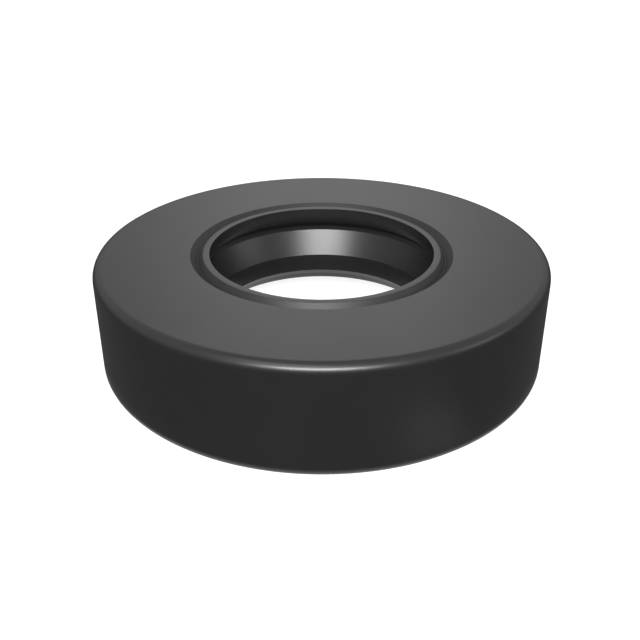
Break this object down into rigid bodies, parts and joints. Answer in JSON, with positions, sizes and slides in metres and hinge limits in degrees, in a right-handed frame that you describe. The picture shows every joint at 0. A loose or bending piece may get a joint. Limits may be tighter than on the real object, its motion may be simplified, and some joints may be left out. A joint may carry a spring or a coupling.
{
  "type": "rotary shaft lip seal",
  "caption": "Round rubber-covered shaft seal with a sealing lip, a dust lip, a bonded steel case and a garter spring.",
  "frame": {"origin": "centre of the foot, the face on the oil side, on the shaft's axis", "axes": "+Z along the shaft's axis towards the air side; the part is round, so X and Y are any two directions across it"},
  "size_m": [0.0404, 0.0404, 0.01],
  "materials": {
    "rubber": "moulded nitrile rubber, dark grey, satin",
    "case_steel": "pressed mild steel, phosphated, dull",
    "spring_steel": "drawn spring wire, close wound"
  },
  "bodies": {
    "root": {"seal_body": "rubber", "metal_case": "case_steel", "garter_spring": "spring_steel"}
  },
  "joints": []
}
